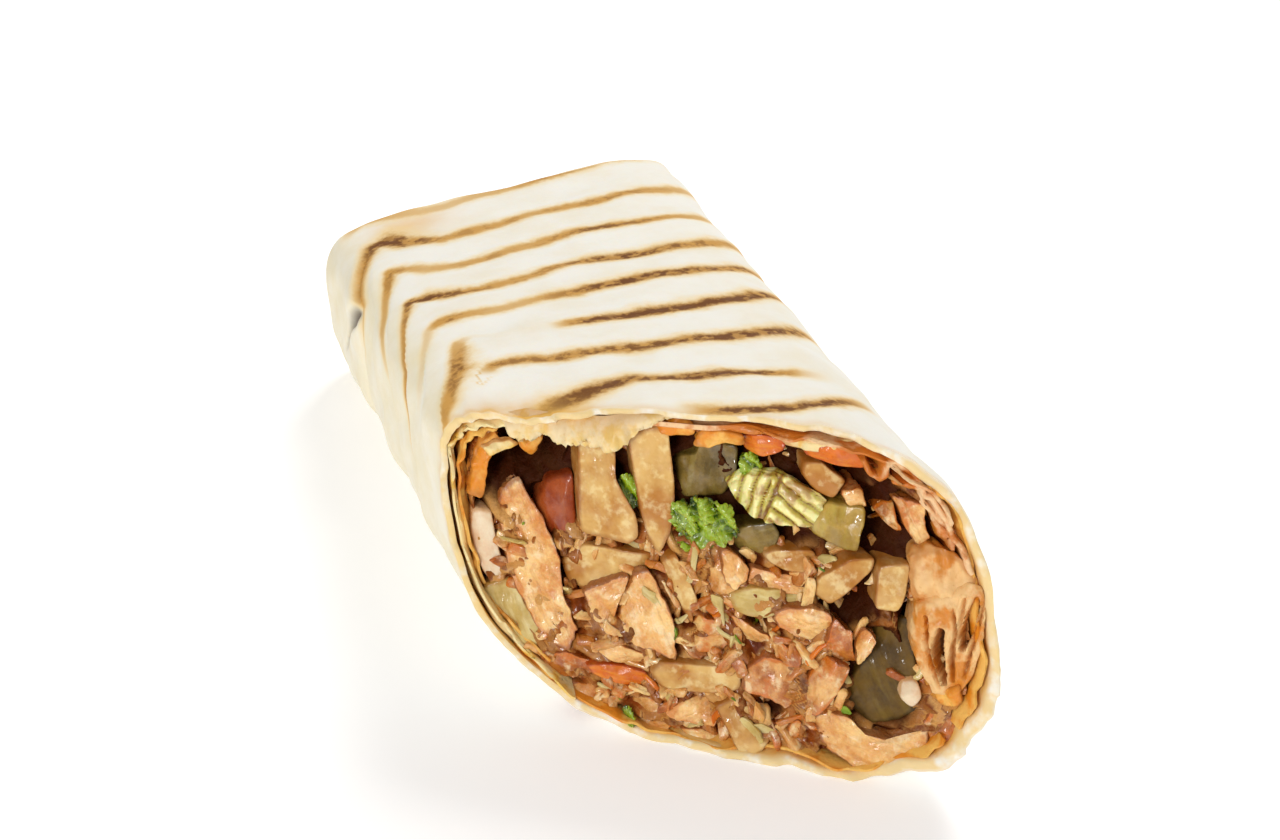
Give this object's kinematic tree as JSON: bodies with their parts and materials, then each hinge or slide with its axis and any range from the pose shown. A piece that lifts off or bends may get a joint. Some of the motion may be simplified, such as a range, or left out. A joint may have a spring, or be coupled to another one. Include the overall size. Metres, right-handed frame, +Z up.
{
  "type": "shawarma wrap",
  "caption": "Half of a grilled shawarma wrap, cut on the slant: rolled flatbread around chicken, fries, pickle, cabbage, carrot, onion, tomato and herbs.",
  "frame": {"origin": "middle of the underside's bounding box, on the surface that the wrap lies on", "axes": "+Y along the wrap from the cut to the folded end, +X across it to the right of the cut, +Z up"},
  "size_m": [0.0738, 0.1674, 0.0576],
  "materials": {
    "flatbread": "soft baked flatbread with thin toasted grill lines",
    "chicken": "moist cooked meat in a light glossy sauce",
    "fry": "fried potato, dry with a slight sheen",
    "pickle": "wet translucent pickled cucumber",
    "carrot": "moist carrot strip",
    "onion": "wet translucent onion",
    "tomato": "wet tomato flesh",
    "cabbage_stem": "crisp ribbed stem",
    "cabbage": "crisp leaf",
    "parsley": "wet green leaf"
  },
  "bodies": {
    "root": {"flatbread": "flatbread", "chicken_filling": "chicken", "fry_tall": "fry", "fry_slanting": "fry", "fry_top_stub": "fry", "fry_right_stub": "fry", "fry_left_low": "fry", "fry_middle": "fry", "fry_rising": "fry", "fry_cream": "fry", "fry_low": "fry", "fry_foot": "fry", "pickle_top": "pickle", "pickle_cube": "pickle", "pickle_grey": "pickle", "pickle_slab": "pickle", "carrot_top_left": "carrot", "carrot_top_right": "carrot", "carrot_low": "carrot", "onion_white": "onion", "onion_pink": "onion", "tomato": "tomato", "cabbage_stem": "cabbage_stem", "cabbage_left": "cabbage", "cabbage_right": "cabbage", "parsley": "parsley"}
  },
  "joints": []
}
